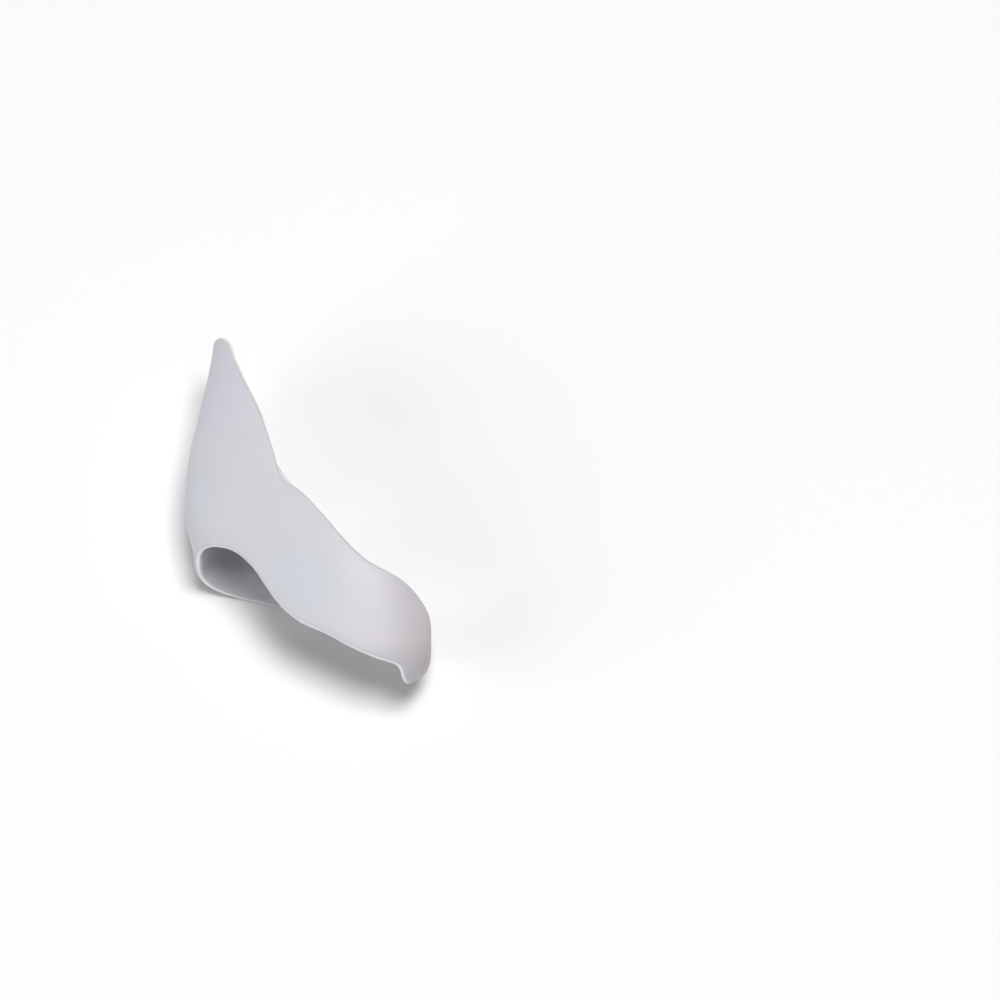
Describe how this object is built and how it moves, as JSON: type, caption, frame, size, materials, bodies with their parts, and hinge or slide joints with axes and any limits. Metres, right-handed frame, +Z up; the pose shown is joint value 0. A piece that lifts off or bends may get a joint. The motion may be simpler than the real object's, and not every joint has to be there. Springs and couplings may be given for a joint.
{
  "type": "gel toe separator",
  "caption": "One-piece white gel separator with rounded openings for the two smallest toes, a spacer between them and a curved side shield.",
  "frame": {"origin": "bottom centre of the bounding box, on the surface the piece rests on", "axes": "+X from the little toe's opening to the fourth toe's, +Y from the toe openings to the tip of the shield, +Z up, from the sole side to the upper side"},
  "size_m": [0.0352, 0.051, 0.0201],
  "materials": {
    "gel": "satin, slightly translucent"
  },
  "bodies": {
    "root": {"gel_separator": "gel"}
  },
  "joints": []
}
